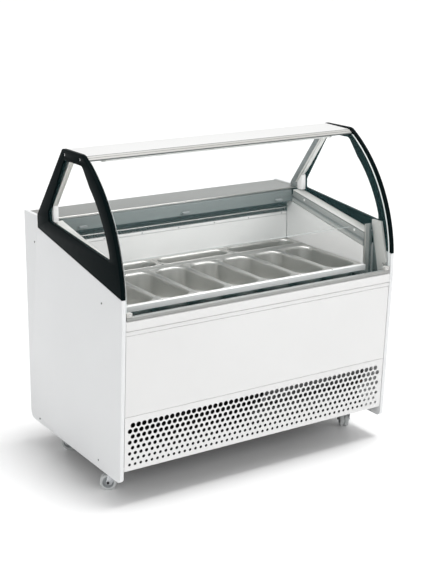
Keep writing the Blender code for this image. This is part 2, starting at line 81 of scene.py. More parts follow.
class Look:
    """A Principled material under construction. Patterns follow the object's own coordinates, in metres."""

    def __init__(self, name, color, roughness, metallic=0.0):
        self.material = bpy.data.materials.new(name)
        self.material.use_nodes = True
        self.nodes = self.material.node_tree.nodes
        self.links = self.material.node_tree.links
        self.shader = self.nodes["Principled BSDF"]
        self.color = color
        self.shader.inputs["Base Color"].default_value = (*color, 1.0)
        self.shader.inputs["Roughness"].default_value = roughness
        self.shader.inputs["Metallic"].default_value = metallic
        self.height = None

    def noise(self, scale, stretch=(1, 1, 1), detail=3.0):
        """A noise value from 0 to 1; stretch above 1 squeezes the pattern along that axis."""
        place = self.nodes.new("ShaderNodeTexCoord")
        mapping = self.nodes.new("ShaderNodeMapping")
        mapping.inputs["Scale"].default_value = stretch
        self.links.new(place.outputs["Object"], mapping.inputs["Vector"])
        made = self.nodes.new("ShaderNodeTexNoise")
        made.inputs["Scale"].default_value = scale
        made.inputs["Detail"].default_value = detail
        self.links.new(mapping.outputs["Vector"], made.inputs["Vector"])
        return made.outputs["Fac"]

    def between(self, value, low, high, start=0.3, end=0.7):
        """Turns a pattern from start to end into numbers from low to high."""
        made = self.nodes.new("ShaderNodeMapRange")
        made.inputs["From Min"].default_value = start
        made.inputs["From Max"].default_value = end
        made.inputs["To Min"].default_value = low
        made.inputs["To Max"].default_value = high
        self.links.new(value, made.inputs["Value"])
        return made.outputs["Result"]

    def tint(self, value, darker, lighter, start=0.3, end=0.7):
        """Colours the surface from the pattern, between two factors of its own colour."""
        ramp = self.nodes.new("ShaderNodeValToRGB")
        ramp.color_ramp.elements[0].position = start
        ramp.color_ramp.elements[1].position = end
        for stop, factor in zip(ramp.color_ramp.elements, (darker, lighter)):
            stop.color = (*(min(1.0, c * factor) for c in self.color), 1.0)
        self.links.new(value, ramp.inputs["Fac"])
        self.links.new(ramp.outputs["Color"], self.shader.inputs["Base Color"])
        return self

    def rough(self, value, low, high):
        self.links.new(self.between(value, low, high), self.shader.inputs["Roughness"])
        return self

    def bump(self, value, strength, distance):
        made = self.nodes.new("ShaderNodeBump")
        made.inputs["Strength"].default_value = strength
        made.inputs["Distance"].default_value = distance
        self.links.new(value, made.inputs["Height"])
        if self.height is not None:
            self.links.new(self.height, made.inputs["Normal"])
        self.height = made.outputs["Normal"]
        self.links.new(self.height, self.shader.inputs["Normal"])
        return self

    def set(self, **sockets):
        for name, value in sockets.items():
            self.shader.inputs[name.replace("_", " ")].default_value = value
        return self


def painted(name, color, roughness, peel=0.02, index=1.45):
    """Powder-coated sheet: a faint orange peel, and a gloss that varies a little from place to place."""
    look = Look(name, color, roughness).set(IOR=index)
    look.tint(look.noise(3.0), 0.99, 1.01)
    look.rough(look.noise(35.0), roughness * 0.9, roughness * 1.1)
    look.bump(look.noise(260.0, detail=1.0), peel, 0.0001)
    return look.material


def brushed(name, color, roughness, grain, streak=0.10):
    """Brushed metal. grain squeezes the pattern across the brushing direction."""
    look = Look(name, color, roughness, 1.0)
    lines = look.noise(60.0, grain, 4.0)
    look.tint(lines, 1 - streak, 1 + streak)
    look.rough(look.noise(45.0, grain, 2.0), roughness * 0.85, roughness * 1.2)
    look.bump(lines, 0.12, 0.0003)
    look.bump(look.noise(4.0), 0.06, 0.004)
    return look.material


def fin_edges():
    """Fin edges seen through the grille: painted shade darkens them towards the bottom."""
    look = Look("fin_stock", (0.80, 0.82, 0.83), 0.55)
    place = look.nodes.new("ShaderNodeTexCoord")
    split = look.nodes.new("ShaderNodeSeparateXYZ")
    look.links.new(place.outputs["Object"], split.inputs["Vector"])
    # painted shade: the fin colour falls to 3 % of itself below z 0.250 and is full above z 0.345
    look.tint(look.between(split.outputs["Z"], 0.0, 1.0, 0.250, 0.345), 0.03, 1.0, 0.0, 1.0)
    look.rough(look.noise(60.0), 0.40, 0.52)
    return look.material


def plastic(name, color, roughness, grain=700.0, strength=0.15):
    """Moulded plastic with a fine grain."""
    look = Look(name, color, roughness)
    look.tint(look.noise(6.0), 0.96, 1.04)
    look.rough(look.noise(80.0), roughness * 0.9, roughness * 1.12)
    look.bump(look.noise(grain, detail=2.0), strength, 0.0003)
    return look.material


def clear(name, color, alpha, roughness=0.03):
    """Clear sheet with faint smears in its gloss."""
    look = Look(name, color, roughness)
    look.rough(look.noise(9.0, (1, 1, 2.5), 4.0), roughness * 0.5, roughness * 2.5)
    look.set(Alpha=alpha, IOR=1.45)
    return look.material


PAINT = painted("white_powder_coat", (0.76, 0.77, 0.775), 0.34)
FRONT_PAINT = painted("white_front_paint", (0.745, 0.745, 0.74), 0.50)
LINER = painted("white_liner", (0.74, 0.73, 0.72), 0.42, 0.05)
# black is the frames' own colour; its blue-green tint is a painted reflection, and the low index turns the
# real reflection down
BLACK = painted("black_powder_coat", (0.0018, 0.0050, 0.0056), 0.34, 0.05, index=1.07)
STEEL = brushed("drawn_steel", (0.60, 0.59, 0.57), 0.36, (1, 1, 14), 0.04)
SHEET = brushed("brushed_sheet", (0.44, 0.435, 0.42), 0.34, (1, 22, 22), 0.08)
ALU = brushed("satin_aluminium", (0.60, 0.59, 0.57), 0.36, (1, 16, 16), 0.05)
TRIM_TOP = painted("pale_grey_profile", (0.50, 0.495, 0.475), 0.38, 0.05)
TRIM_FACE = painted("slate_profile", (0.20, 0.21, 0.21), 0.42, 0.05)
TRIM_MIDDLE = painted("mid_grey_profile", (0.31, 0.315, 0.305), 0.40, 0.05)
BEAD = painted("light_bead", (0.40, 0.40, 0.385), 0.36, 0.05)
BAND = painted("slate_band", (0.150, 0.165, 0.163), 0.50, 0.05, index=1.3)
# painted shade: the tank's walls are dark slate to stand for the shade under the pans
TANK = painted("tank_liner_painted_shade", (0.075, 0.085, 0.086), 0.55)
# painted shade: a near-black for slots, recesses, shadow lines and small dots where shade falls
SHADOW = plastic("painted_shadow", (0.010, 0.016, 0.018), 0.60)
ZINC = brushed("bright_zinc", (0.66, 0.68, 0.70), 0.28, (8, 8, 1), 0.05)
BOLT = brushed("bright_steel", (0.78, 0.79, 0.80), 0.20, (6, 6, 6), 0.04)
RUBBER = plastic("grey_wheel_tread", (0.58, 0.60, 0.60), 0.62, 300.0, 0.25)
HUB = plastic("grey_wheel_hub", (0.30, 0.32, 0.33), 0.45)
DARK = plastic("black_plastic", (0.016, 0.016, 0.017), 0.42, 500.0, 0.25)
ENAMEL = painted("black_enamel", (0.014, 0.015, 0.016), 0.30)
COPPER = brushed("copper_tube", (0.40, 0.21, 0.13), 0.32, (4, 4, 4), 0.12)
FINS = fin_edges()
# painted shade: the base tray is near-black for the shadow under the cabinet
BASE_SHADE = painted("base_painted_shade", (0.018, 0.019, 0.020), 0.55, index=1.2)
DIFFUSER = plastic("frosted_lamp_cover", (0.80, 0.80, 0.78), 0.48, 300.0, 0.05)
GLASS = clear("curved_glass", (0.40, 0.90, 0.92), 0.012)
SIDE_PANE = clear("side_pane", (0.40, 0.90, 0.92), 0.014)
FLAP_SHEET = clear("clear_sheet", (0.70, 0.92, 0.92), 0.010)
# painted highlight: a half-opaque pale colour for the look of the sheet's edge
FLAP_EDGE = clear("clear_sheet_edge", (0.72, 0.75, 0.74), 0.45, 0.2)
SCREEN = painted("dark_display", (0.010, 0.012, 0.014), 0.10, 0.02)
GREEN_ROCKER = plastic("green_rocker", (0.03, 0.20, 0.07), 0.30, 300.0, 0.05)
# the green tint is the glass's own; the opaque pale colour is a painted highlight on the glass edges
EDGE = plastic("glass_edge_painted_highlight", (0.82, 0.86, 0.85), 0.25, 200.0, 0.04)


# ---------------------------------------------------------------- shapes

def axes(u, v, origin=(0, 0, 0)):
    """Takes an outline's (a, b) to origin + a*u + b*v, and its thickness along u x v."""
    u, v = Vector(u).normalized(), Vector(v).normalized()
    turn = Matrix((u, v, u.cross(v))).transposed().to_4x4()
    return Matrix.Translation(origin) @ turn


ACROSS = axes((0, 1, 0), (0, 0, 1))        # outlines in (y, z), thickness along +X
TO_REAR = axes((-1, 0, 0), (0, 0, 1))      # outlines in (-x, z), thickness along +Y
LEAN = 0.0405 / (RAIL_TOP - PANEL_Z)


def front_y(z):
    """The front line: upright above the rail, then leaning back towards the floor."""
    return FRONT + LEAN * max(0.0, RAIL_TOP - z)


def facing(spot, normal):
    """Takes +Z to the normal, at a spot."""
    turn = Vector((0, 0, 1)).rotation_difference(Vector(normal)).to_matrix().to_4x4()
    return Matrix.Translation(spot) @ turn


def rounded(corners, steps=6):
    """Outline points from corners (a, b, radius); each corner with a radius becomes an arc."""
    points = []
    count = len(corners)
    for i, (a, b, radius) in enumerate(corners):
        here = Vector((a, b))
        if radius <= 0:
            points.append((a, b))
            continue
        before = (Vector(corners[i - 1][:2]) - here).normalized()
        after = (Vector(corners[(i + 1) % count][:2]) - here).normalized()
        half = before.angle(after) / 2
        middle = here + (before + after).normalized() * (radius / math.sin(half))
        start = here + before * (radius / math.tan(half)) - middle
        end = here + after * (radius / math.tan(half)) - middle
        turn = start.angle_signed(end)
        for k in range(steps + 1):
            spot = start.copy()
            spot.rotate(Matrix.Rotation(-turn * k / steps, 2))
            points.append(tuple(middle + spot))
    return points


def rectangle(a0, b0, a1, b1, radius=0.0, steps=4):
    return rounded([(a0, b0, radius), (a1, b0, radius), (a1, b1, radius), (a0, b1, radius)], steps)


def circle(radius, steps=24, centre=(0, 0)):
    turns = [2 * math.pi * k / steps for k in range(steps)]
    return [(centre[0] + radius * math.cos(t), centre[1] + radius * math.sin(t)) for t in turns]


def arc(radius, start_z, end_y, steps):
    """Points on the arc that the glass and the end frames share, from a height up to a depth."""
    first = math.pi - math.asin((start_z - ARC_Z) / radius)
    last = math.acos((end_y - ARC_Y) / radius)
    turns = [first + (last - first) * k / steps for k in range(steps + 1)]
    return [(ARC_Y + radius * math.cos(t), ARC_Z + radius * math.sin(t)) for t in turns]


def span(side, inner, outer):
    """Lowest and highest x of a piece on the left (side -1) or the right (side 1)."""
    return sorted((side * inner, side * outer))


def anticlockwise(points, wanted=True):
    """The outline turned anticlockwise, or clockwise where that isn't wanted."""
    area = sum(a[0] * b[1] - b[0] * a[1] for a, b in zip(points, points[1:] + points[:1]))
    return list(points) if (area > 0) == wanted else list(reversed(points))


def plate(outline, low, high, bevel=0.0, holes=(), rings=1):
    """A plate of any outline, with holes and rounded edges, from low to high along its thickness."""
    curve = bpy.data.curves.new("outline", "CURVE")
    curve.dimensions, curve.fill_mode = "2D", "BOTH"
    curve.extrude = (high - low) / 2 - bevel
    curve.bevel_depth, curve.bevel_resolution, curve.offset = bevel, rings, -bevel
    loops = [anticlockwise(outline)] + [anticlockwise(hole, False) for hole in holes]
    for loop in loops:
        spline = curve.splines.new("POLY")
        spline.points.add(len(loop) - 1)
        for point, (a, b) in zip(spline.points, loop):
            point.co = (a, b, 0, 1)
        spline.use_cyclic_u = True
    holder = bpy.data.objects.new("outline", curve)
    bpy.context.scene.collection.objects.link(holder)
    graph = bpy.context.evaluated_depsgraph_get()
    mesh = bpy.data.meshes.new_from_object(holder.evaluated_get(graph))
    bpy.data.objects.remove(holder, do_unlink=True)
    bpy.data.curves.remove(curve)
    mesh.transform(Matrix.Translation((0, 0, (low + high) / 2)))
    return mesh


def block(low, high, bevel=0.0):
    bm = bmesh.new()
    bmesh.ops.create_cube(bm, size=1.0)
    low, high = Vector(low), Vector(high)
    for vert in bm.verts:
        vert.co = (low + high) / 2 + Vector(a * b for a, b in zip(vert.co, high - low))
    if bevel > 0:
        bmesh.ops.bevel(bm, geom=bm.edges[:], offset=bevel, segments=2, affect="EDGES", clamp_overlap=True)
    return to_mesh(bm)


def to_mesh(bm):
    mesh = bpy.data.meshes.new("shape")
    bm.to_mesh(mesh)
    bm.free()
    return mesh


def lathe(profile, steps=32):
    """A profile of (radius, height) turned about Z. It starts and ends on the axis, or closes on itself."""
    bm = bmesh.new()
    rings = []
    for radius, height in profile:
        if radius == 0:
            rings.append([bm.verts.new((0, 0, height))])
        else:
            rings.append([bm.verts.new((a, b, height)) for a, b in circle(radius, steps)])
    pairs = list(zip(rings, rings[1:]))
    if profile[0][0] > 0:
        pairs.append((rings[-1], rings[0]))
    for one, two in pairs:
        for k in range(steps):
            n = (k + 1) % steps
            face = [one[k % len(one)], one[n % len(one)], two[n % len(two)], two[k % len(two)]]
            bm.faces.new(list(dict.fromkeys(face)))
    return to_mesh(bm)


def tube(points, radius):
    """A round tube with closed ends through a row of points."""
    curve = bpy.data.curves.new("path", "CURVE")
    curve.dimensions = "3D"
    curve.bevel_depth, curve.bevel_resolution, curve.use_fill_caps = radius, 2, True
    spline = curve.splines.new("POLY")
    spline.points.add(len(points) - 1)
    for point, spot in zip(spline.points, points):
        point.co = (*spot, 1)
    holder = bpy.data.objects.new("path", curve)
    bpy.context.scene.collection.objects.link(holder)
    graph = bpy.context.evaluated_depsgraph_get()
    mesh = bpy.data.meshes.new_from_object(holder.evaluated_get(graph))
    bpy.data.objects.remove(holder, do_unlink=True)
    bpy.data.curves.remove(curve)
    return mesh


class Piece:
    """Collects shapes, each with its own look, into one mesh that rides on a CAD body."""

    def __init__(self, name, body, slot):
        self.name, self.body, self.slot_name = name, body, slot
        self.bm = bmesh.new()
        self.looks = []

    def add(self, mesh, look, place=None):
        if look not in self.looks:
            self.looks.append(look)
        index = self.looks.index(look)
        copy = mesh.copy()
        if place is not None:
            copy.transform(place)
        bm = bmesh.new()
        bm.from_mesh(copy)
        bmesh.ops.remove_doubles(bm, verts=bm.verts, dist=1e-6)
        bmesh.ops.recalc_face_normals(bm, faces=bm.faces)
        if bm.calc_volume(signed=True) < 0:
            bmesh.ops.reverse_faces(bm, faces=bm.faces)
        for face in bm.faces:
            face.material_index = index
        bm.to_mesh(copy)
        bm.free()
        self.bm.from_mesh(copy)
        bpy.data.meshes.remove(copy)
        return self

    def done(self, *replaced, smooth=SMOOTH_ANGLE):
        mesh = bpy.data.meshes.new(self.name)
        self.bm.to_mesh(mesh)
        self.bm.free()
        for look in self.looks:
            mesh.materials.append(look)
        mesh.shade_smooth()
        mesh.set_sharp_from_angle(angle=math.radians(smooth))
        made = bpy.data.objects.new(self.name, mesh)
        bpy.context.scene.collection.objects.link(made)
        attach(made, self.body)
        if replaced:
            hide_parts(*replaced)
        return made


def keep(look, *names):
    """CAD nodes whose shape is right get a better material."""
    for name in names:
        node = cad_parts[name]
        node.data.materials.clear()
        node.data.materials.append(look)
        node.data.shade_smooth()
        node.data.set_sharp_from_angle(angle=math.radians(SMOOTH_ANGLE))


def screw_head(radius, height, recess):
    """A domed screw head on z = 0 with a cross, a hex or no recess, and a dark disc on the floor of the
    recess as painted shade.
    """
    dome = height * 0.45
    if recess is None:
        return plate(circle(radius, 20), 0.0, height, dome), None
    if recess == "cross":
        w, r = radius * 0.16, radius * 0.58
        hole = [(-w, -r), (w, -r), (w, -w), (r, -w), (r, w), (w, w), (w, r), (-w, r), (-w, w), (-r, w),
                (-r, -w), (-w, -w)]
    else:
        hole = circle(radius * 0.5, 6)
    head = plate(circle(radius, 20), 0.0, height, dome, [hole])
    return head, plate(circle(radius * 0.75, 16), 0.0, height * 0.25)


def add_screws(piece, spots, normal, radius, height, look, recess="cross"):
    head, floor = screw_head(radius, height, recess)
    for spot in spots:
        piece.add(head, look, facing(spot, normal))
        if floor:
            # painted shade: the recess floor is drawn in black plastic
            piece.add(floor, DARK, facing(spot, normal))


# ---------------------------------------------------------------- side panels and body

def side_outline():
    return rounded([
        (REAR, PANEL_Z, 0.035), (REAR, WORKTOP_Z, 0.001), (0.300, WORKTOP_Z, 0.004), (0.300, 0.987, 0.0),
        (FRONT, 0.853, 0.0), (FRONT, RAIL_TOP, 0.0), (front_y(PANEL_Z), PANEL_Z, 0.022),
    ], 10)


def side_panels():
    spots = [(0.3355, 0.918), (-0.2685, 0.803), (0.3395, 0.123), (-0.2135, 0.138)]
    for side, word in ((-1, "left"), (1, "right")):
        low, high = span(side, HALF_W - SIDE_THICK, HALF_W - 0.0012)
        panel = Piece(f"side_skin_{word}", "cabinet", "white_paint")
        panel.add(plate(side_outline(), low, high, 0.0013), PAINT, ACROSS)
        face = side * (HALF_W - 0.0013)
        add_screws(panel, [(face, y, z) for y, z in spots], (side, 0, 0), 0.0042, 0.0011, DARK)
        panel.done(f"side_panel_{word}")


def leaning(z):
    """A frame on the leaning front: outlines in (x, distance up the front from z), thickness outwards."""
    up = Vector((0, -LEAN, 1)).normalized()
    return axes((1, 0, 0), up, (0, front_y(z), z))


def front_panels():
    rail = Piece("front_rail_profile", "cabinet", "white_paint")
    rail.add(plate(rounded([
        (-0.4080, 0.7670, 0.003), (FRONT + 0.001, 0.7670, 0.006), (FRONT + 0.0012, 0.7292, 0.0015),
        (FRONT + 0.008, 0.7292, 0.0), (FRONT + 0.008, 0.7262, 0.0), (FRONT + 0.0035, 0.7262, 0.0015),
        (FRONT + 0.0045, 0.7100, 0.0015), (-0.4080, 0.7100, 0.0),
    ], 5), -IN_X, IN_X, 0.0006), FRONT_PAINT, ACROSS)
    rail.done("front_rail")

    panel = Piece("front_panel_sheet", "cabinet", "white_paint")
    low, high = 0.3775, 0.7090
    rise = (high - low) * math.hypot(1, LEAN)
    outline = rectangle(-IN_X + 0.0008, 0.0004, IN_X - 0.0008, rise - 0.0004, 0.002)
    panel.add(plate(outline, -0.0088, -0.0008, 0.0014), FRONT_PAINT, leaning(low))
    panel.done("front_panel")

    grille()


def grille():
    """Perforated sheet: eight staggered rows of round holes that shrink towards the floor."""
    stretch = math.hypot(1, LEAN)
    low, high = GRILLE_Z
    holes = []
    for row in range(GRILLE_ROWS):
        z = GRILLE_TOP_ROW - ROW_PITCH * row
        radius = TOP_HOLE_R - HOLE_SHRINK * row
        count = ROW_HOLES[row % 2]
        start = -(count - 1) / 2 * COLUMN_PITCH - 0.002
        holes += [circle(radius, 18, (start + COLUMN_PITCH * k, (z - low) * stretch)) for k in range(count)]
    outline = rectangle(-IN_X + 0.0008, 0.0, IN_X - 0.0008, (high - low) * stretch, 0.001, 2)
    sheet = Piece("grille_sheet", "cabinet", "white_paint")
    sheet.add(plate(outline, -0.0035, -0.0015, 0.0004, holes, 0), FRONT_PAINT, leaning(low))
    for edge in (0.0, (high - low) * stretch - 0.0014):
        fold = block((-IN_X + 0.001, edge, -0.0100), (IN_X - 0.001, edge + 0.0014, -0.0030), 0.0004)
        sheet.add(fold, FRONT_PAINT, leaning(low))
    sheet.done("front_grille")


# ---------------------------------------------------------------- well

def rear_side():
    """Worktop, slate band, air outlet and back wall."""
    top = Piece("worktop_sheet", "cabinet", "aluminium")
    profile = rounded([
        (0.2200, 1.0285, 0.0012), (0.4115, 1.0285, 0.002), (0.4115, 1.0378, 0.003), (0.2200, 1.0378, 0.003),
    ], 5)
    top.add(plate(profile, -POST_X + 0.0017, POST_X - 0.0017, 0.0008), SHEET, ACROSS)
    top.done("worktop")

    band = Piece("rear_band_sheet", "cabinet", "grey_profile")
    outline = rounded([
        (0.2075, 0.9750, 0.001), (0.2950, 0.9750, 0.0), (0.2950, 0.9778, 0.0), (0.2200, 0.9778, 0.003),
        (0.2275, 1.0270, 0.001), (0.2155, 1.0270, 0.0015),
    ], 4)
    band.add(plate(outline, -TRIM_X, TRIM_X, 0.0004), BAND, ACROSS)
    band.done("rear_band")

    outlet = Piece("air_outlet_louvre", "cabinet", "grey_profile")
    # painted shade: a back plate in the shadow colour behind the slots
    back = [(0.2800, 0.9055), (0.2900, 0.9055), (0.2900, 0.9735), (0.2800, 0.9735)]
    outlet.add(plate(back, -TRIM_X, TRIM_X), SHADOW, ACROSS)
    lip = rounded([
        (0.2528, 0.9058, 0.001), (0.2528, 0.9178, 0.0025), (0.2798, 0.9178, 0.0), (0.2798, 0.9058, 0.0),
    ], 4)
    outlet.add(plate(lip, -TRIM_X, TRIM_X), LINER, ACROSS)
    blade = rounded([
        (0.2526, 0.9345, 0.002), (0.2526, 0.9405, 0.002), (0.2798, 0.9405, 0.0), (0.2798, 0.9345, 0.0),
    ], 4)
    outlet.add(plate(blade, -TRIM_X, TRIM_X), ALU, ACROSS)
    # painted shade: the upper slot under the band is a strip in the shadow colour
    crown = [(0.2560, 0.9605), (0.2560, 0.9733), (0.2798, 0.9733), (0.2798, 0.9605)]
    outlet.add(plate(crown, -TRIM_X, TRIM_X), SHADOW, ACROSS)
    vane = block((-0.0006, 0.2600, 0.9180), (0.0006, 0.2798, 0.9345))
    for k in range(84):
        outlet.add(vane, TRIM_FACE, Matrix.Translation((-0.581 + k * 0.014, 0, 0)))
    spots = [(-0.560 + 0.1865 * k, 0.2528, 0.9118) for k in range(7)]
    add_screws(outlet, spots, (0, -1, 0), 0.0026, 0.0008, DARK)
    outlet.done("air_outlet")
    keep(LINER, "rear_wall", "inner_wall_left", "inner_wall_right")
    # painted shade: the tank is drawn dark for the shade under the pans
    keep(TANK, "insulated_tank")


def trims():
    """Slanted side trims: a pale cap, a slate face with a raised edge, and a lighter bead at the bottom."""
    top0, top1 = Vector((-0.3150, 0.9335)), Vector((0.2060, 1.0275))
    low0, low1 = Vector((-0.3080, 0.8710)), Vector((0.2150, 0.9735))

    def strip(start, end):
        """A band of the face between two shares of its height."""
        points = [top0.lerp(low0, start), top0.lerp(low0, end), top1.lerp(low1, end), top1.lerp(low1, start)]
        return [tuple(p) for p in points]

    for side, word in ((-1, "left"), (1, "right")):
        piece = Piece(f"slanted_trim_profile_{word}", "cabinet", "grey_profile")

        def layer(start, end, inner, outer, look, bevel=0.0008):
            low, high = span(side, inner, outer)
            piece.add(plate(strip(start, end), low, high, bevel), look, ACROSS)

        layer(0.045, 0.995, TRIM_X + 0.0040, IN_X - 0.0005, TRIM_FACE)
        layer(0.0, 0.040, TRIM_X, IN_X, TRIM_TOP, 0.0012)
        # painted shade: a dark line under the cap
        layer(0.042, 0.10, TRIM_X + 0.0030, TRIM_X + 0.006, SHADOW)
        layer(0.102, 0.52, TRIM_X + 0.0022, TRIM_X + 0.006, TRIM_MIDDLE)
        layer(0.524, 0.70, TRIM_X + 0.0030, TRIM_X + 0.006, TRIM_FACE)
        layer(0.705, 0.79, TRIM_X + 0.0012, TRIM_X + 0.006, TRIM_MIDDLE, 0.0012)
        layer(0.795, 1.0, TRIM_X, TRIM_X + 0.006, BEAD, 0.0015)
        face = side * (TRIM_X + 0.0022)
        spots = [(face, -0.2476, 0.9286), (face, 0.1175, 0.9948)]
        add_screws(piece, spots, (-side, 0, 0), 0.0060, 0.0024, LINER, None)
        piece.done(f"slanted_trim_{word}")


def corner_posts():
    """The end plates in front of the side walls: they lean back with the glass, and hide a recess whose
    shade is painted in strips that darken towards the plate.
    """
    outline = rounded([
        (-0.3170, 0.9848, 0.003), (-0.3768, 0.9848, 0.004), (-0.4148, 0.8250, 0.0), (-0.4148, 0.8131, 0.002),
        (-0.4072, 0.8100, 0.002), (-0.4072, 0.7306, 0.0), (-0.3700, 0.7306, 0.0), (-0.3610, 0.7700, 0.0),
        (-0.3170, 0.9590, 0.0),
    ], 4)
    for side, word in ((-1, "left"), (1, "right")):
        piece = Piece(f"corner_post_profile_{word}", "cabinet", "aluminium")

        def layer(shape, inner, outer, look, bevel=0.0):
            low, high = span(side, inner, outer)
            piece.add(plate(shape, low, high, bevel), look, ACROSS)

        layer(outline, END_PLATE_X, IN_X - 0.0012, TRIM_TOP, 0.0014)
        # painted shade: the wall end's face goes from aluminium through mid grey to slate towards the plate
        strips = ((WELL_X, 0.5962, -0.3198, ALU), (0.5966, 0.6160, -0.3188, TRIM_MIDDLE),
                  (0.6164, END_PLATE_X - 0.0008, -0.3188, BAND))
        for inner, outer, front, look in strips:
            low, high = span(side, inner, outer)
            piece.add(block((low, front, 0.7312), (high, -0.3162, 0.9680), 0.0006), look)
        # painted shade: a slate band along the plate's rear edge
        lip = [(-0.3206, 0.9590), (-0.3171, 0.9590), (-0.3610, 0.7702), (-0.3700, 0.7310),
               (-0.3738, 0.7310), (-0.3648, 0.7702)]
        layer(lip, END_PLATE_X - 0.0006, END_PLATE_X + 0.0010, BAND)
        # painted shade: a slate sheet on the side wall inside the recess
        recess_shade = [(-0.3170, 0.7310), (-0.3700, 0.7310), (-0.3610, 0.7700), (-0.3170, 0.9580)]
        layer(recess_shade, IN_X - 0.0012, IN_X, BAND)
        clip = [(-0.3985 + 0.0065 * math.cos(t), 0.7985 + 0.0085 * math.sin(t))
                for t in (math.radians(40 + 14 * k) for k in range(21))]
        piece.add(tube([(side * (END_PLATE_X + 0.0006), y, z) for y, z in clip], 0.0015), DARK)
        piece.done(f"corner_post_{word}")


def bars():
    front = Piece("front_support_profile", "cabinet", "white_paint")
    profile = rounded([
        (-0.3320, 0.7685, 0.001), (-0.3320, 0.7915, 0.0014), (-0.3125, 0.7915, 0.0012),
        (-0.3125, 0.7880, 0.0), (-0.3035, 0.7880, 0.0), (-0.3035, 0.7755, 0.0), (-0.3100, 0.7755, 0.0),
        (-0.3100, 0.7685, 0.001),
    ], 4)
    front.add(plate(profile, -TRIM_X, TRIM_X, 0.0008), FRONT_PAINT, ACROSS)
    # painted shade: six domed dots in the shadow colour stand for small notches along the bar
    spots = [(x, -0.3185, 0.7914) for x in (-0.417, -0.251, -0.084, 0.084, 0.251, 0.417)]
    add_screws(front, spots, (0, 0, 1), 0.0034, 0.0010, SHADOW, None)
    front.done("front_support_bar")

    middle = Piece("middle_bar_profile", "cabinet", "pan_steel")
    profile = rounded([
        (0.0830, 0.7755, 0.0), (0.0830, 0.7880, 0.0), (0.0925, 0.7880, 0.0), (0.0925, 0.7914, 0.001),
        (0.1345, 0.7914, 0.001), (0.1345, 0.7870, 0.0), (0.1440, 0.7870, 0.0), (0.1440, 0.7755, 0.0),
    ], 3)
    middle.add(plate(profile, -TRIM_X, TRIM_X), SHEET, ACROSS)
    add_screws(middle, [(-0.148, 0.1130, 0.7913), (0.221, 0.1130, 0.7913)], (0, 0, 1), 0.0032, 0.0010, BOLT)
    middle.done("middle_bar")
    keep(SHEET, "pan_filler")


def pan_mesh(size):
    """A drawn steel pan about its own centre: rolled rim, wide corners, drafted walls, rounded bottom."""
    wall, top, floor = 0.0008, PAN_TOP - 0.0006, PAN_TOP - PAN_DEPTH + 0.0004
    flange, corner = 0.0100, min(0.058, size[1] * 0.36)

    def ring(inset, radius, z):
        """The pan's outline, moved inwards, with its own corner radius and height."""
        half_x, half_y = size[0] / 2 - inset, size[1] / 2 - inset
        outline = rounded([(half_x, half_y, radius), (-half_x, half_y, radius), (-half_x, -half_y, radius),
                           (half_x, -half_y, radius)], 10)
        return [(a, b, z) for a, b in outline]

    inner = [(0.0, 0.010, top - 0.0032), (0.0, 0.010, top - 0.0008), (0.0008, 0.010, top),
             (0.0030, 0.011, top), (0.0040, 0.012, top - 0.0008),
             (flange - 0.004, corner - 0.004, top - 0.0010),
             (flange - 0.0015, corner - 0.001, top - 0.0018), (flange + 0.0002, corner, top - 0.0045),
             (flange + 0.0010, corner, top - 0.0120)]
    base_inset, curl = flange + 0.0060, 0.018
    for k in range(8):
        t = math.pi / 2 * k / 7
        inner.append((base_inset + curl * (1 - math.cos(t)), corner - 0.003 - 0.010 * (1 - math.cos(t)),
                      floor + curl * (1 - math.sin(t))))
    loops = [ring(*spot) for spot in inner]
    under = [ring(inset - wall, radius + wall, z - wall) for inset, radius, z in inner[7:]]
    skirt = [ring(0.0009, 0.010, top - 0.0032), ring(0.0020, 0.010, top - 0.0016),
             ring(flange - 0.0030, corner - 0.003, top - 0.0024)]
    bm = bmesh.new()
    chain = list(reversed(under)) + list(reversed(skirt)) + loops
    rings = [[bm.verts.new(p) for p in points] for points in chain]
    count = len(rings[0])
    for one, two in zip(rings, rings[1:]):
        for i in range(count):
            j = (i + 1) % count
            bm.faces.new((one[i], one[j], two[j], two[i]))
    bm.faces.new(rings[0])
    bm.faces.new(rings[-1])
    return to_mesh(bm)


def pans():
    front = pan_mesh((0.1665, 0.4020))
    for i in range(FRONT_PANS):
        piece = Piece(f"front_pan_shell_{i + 1}", f"front_pan_{i + 1}", "pan_steel")
        x = (i - FRONT_PANS // 2) * FRONT_PAN_PITCH
        piece.add(front, STEEL, Matrix.Translation((x, -0.1105, 0)))
        piece.done(f"front_pan_{i + 1}", smooth=40.0)
    rear = pan_mesh((0.3660, 0.1150))
    for i, x in enumerate(REAR_PAN_X):
        piece = Piece(f"rear_pan_shell_{i + 1}", f"rear_pan_{i + 1}", "pan_steel")
        piece.add(rear, STEEL, Matrix.Translation((x, 0.1930, 0)))
        piece.done(f"rear_pan_{i + 1}", smooth=40.0)


# ---------------------------------------------------------------- glass superstructure

def window(shrink=0.0):
    """The opening in an end frame, or the pane that fills it when it is shrunk a little."""
    s = shrink
    curve = arc(FRAME_R - 0.062 - s, 1.010, -0.190, 24)
    corners = [(-0.3435 + s, 0.981 + s, 0.010), (0.1900 - s, 1.0370 + s, 0.008), (0.1900 - s, 1.0760, 0.006),
               (0.0300 - s, 1.3140 - s, 0.012), (-0.1280, 1.3140 - s, 0.030)]
    return rounded(corners + [(y, z, 0.0) for y, z in reversed(curve)], 6)


